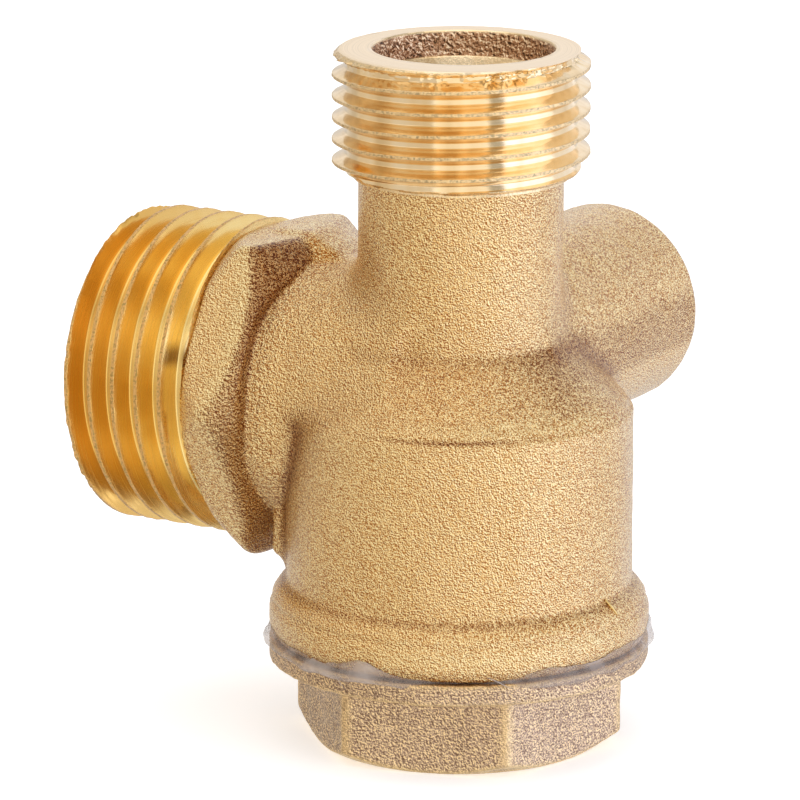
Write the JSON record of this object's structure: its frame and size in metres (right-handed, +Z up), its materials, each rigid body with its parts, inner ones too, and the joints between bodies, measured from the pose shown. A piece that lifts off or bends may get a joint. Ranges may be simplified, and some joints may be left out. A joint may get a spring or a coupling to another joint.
{
  "type": "air compressor check valve",
  "caption": "Three-port brass check valve: threaded inlet on top, larger threaded outlet on the side, plain unloader boss, and a hexagon plug holding a sprung rubber-faced poppet.",
  "frame": {"origin": "centre of the plug's flat bottom face", "axes": "+Z up along the body's main axis, out of the top port; the side port points along -X; the unloader boss points along +Y"},
  "size_m": [0.0375, 0.0334, 0.0459],
  "materials": {
    "cast_brass": "sand cast, fine grain, threads and faces turned bright",
    "plug_brass": "cast, duller and coarser than the body",
    "clear_sealant": "cured clear sealant squeezed out as a ragged film",
    "turned_brass": "turned bright",
    "black_rubber": "moulded, matt",
    "plated_steel": "zinc plated",
    "spring_steel": "drawn wire"
  },
  "bodies": {
    "plug": {"bottom_cap": "plug_brass", "return_spring": "spring_steel"},
    "sealant": {"sealant_film": "clear_sealant"},
    "casting": {"valve_body": "cast_brass"},
    "poppet": {"poppet_carrier": "turned_brass", "seal_disc": "black_rubber", "seal_washer": "plated_steel", "seal_screw": "plated_steel"}
  },
  "joints": [
    {"name": "plug_thread_turn", "type": "hinge", "parent": "plug", "child": "sealant", "pos_m": [0, 0, 0.0092], "axis": [0, 0, 1], "range_deg": [0, 1080]},
    {"name": "plug_thread_travel", "type": "slide", "parent": "sealant", "child": "casting", "axis": [0, 0, 1], "range_m": [0, 0.0045]},
    {"name": "poppet_lift", "type": "slide", "parent": "plug", "child": "poppet", "axis": [0, 0, -1], "range_m": [0, 0.0032], "stiffness_N_per_m": 320, "springref_m": -0.0037, "deforming": ["return_spring"]}
  ],
  "couplings": [
    {"joint": "plug_thread_turn", "follows": "plug_thread_travel", "rad_per_m": 4188.8}
  ]
}
